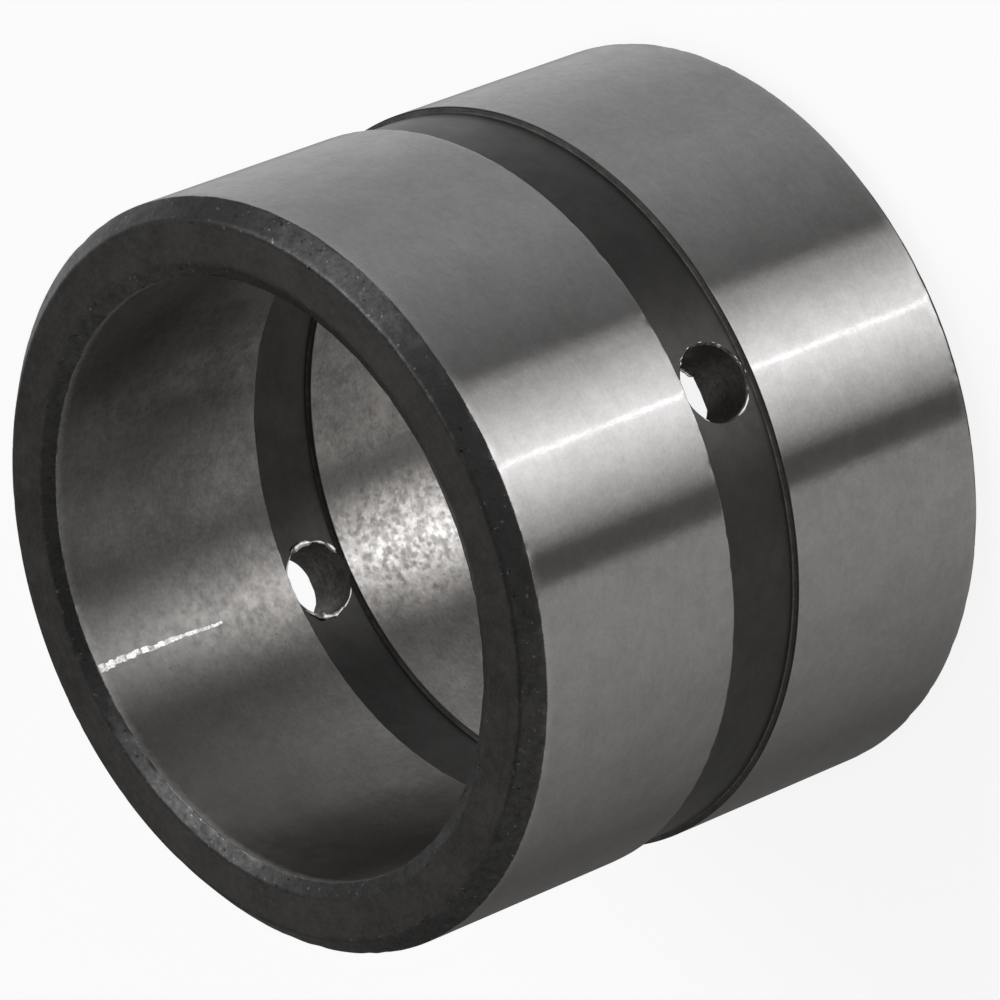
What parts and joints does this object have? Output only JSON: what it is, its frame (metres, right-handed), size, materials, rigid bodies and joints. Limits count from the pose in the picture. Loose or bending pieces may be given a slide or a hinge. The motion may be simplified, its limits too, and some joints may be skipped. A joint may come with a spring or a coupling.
{
  "type": "grooved steel bushing",
  "caption": "Hardened steel sleeve bushing with a grease groove round the outside, a matching groove in the bore and radial oil holes joining them.",
  "frame": {"origin": "centre of the lower end face, on the bore axis", "axes": "+Z along the bore axis towards the upper end, +X through the centre of one oil hole"},
  "size_m": [0.075, 0.075, 0.061],
  "materials": {
    "ground_steel": "satin ground outside and bore, darker turned ends and grooves"
  },
  "bodies": {
    "root": {"bushing": "ground_steel"}
  },
  "joints": []
}
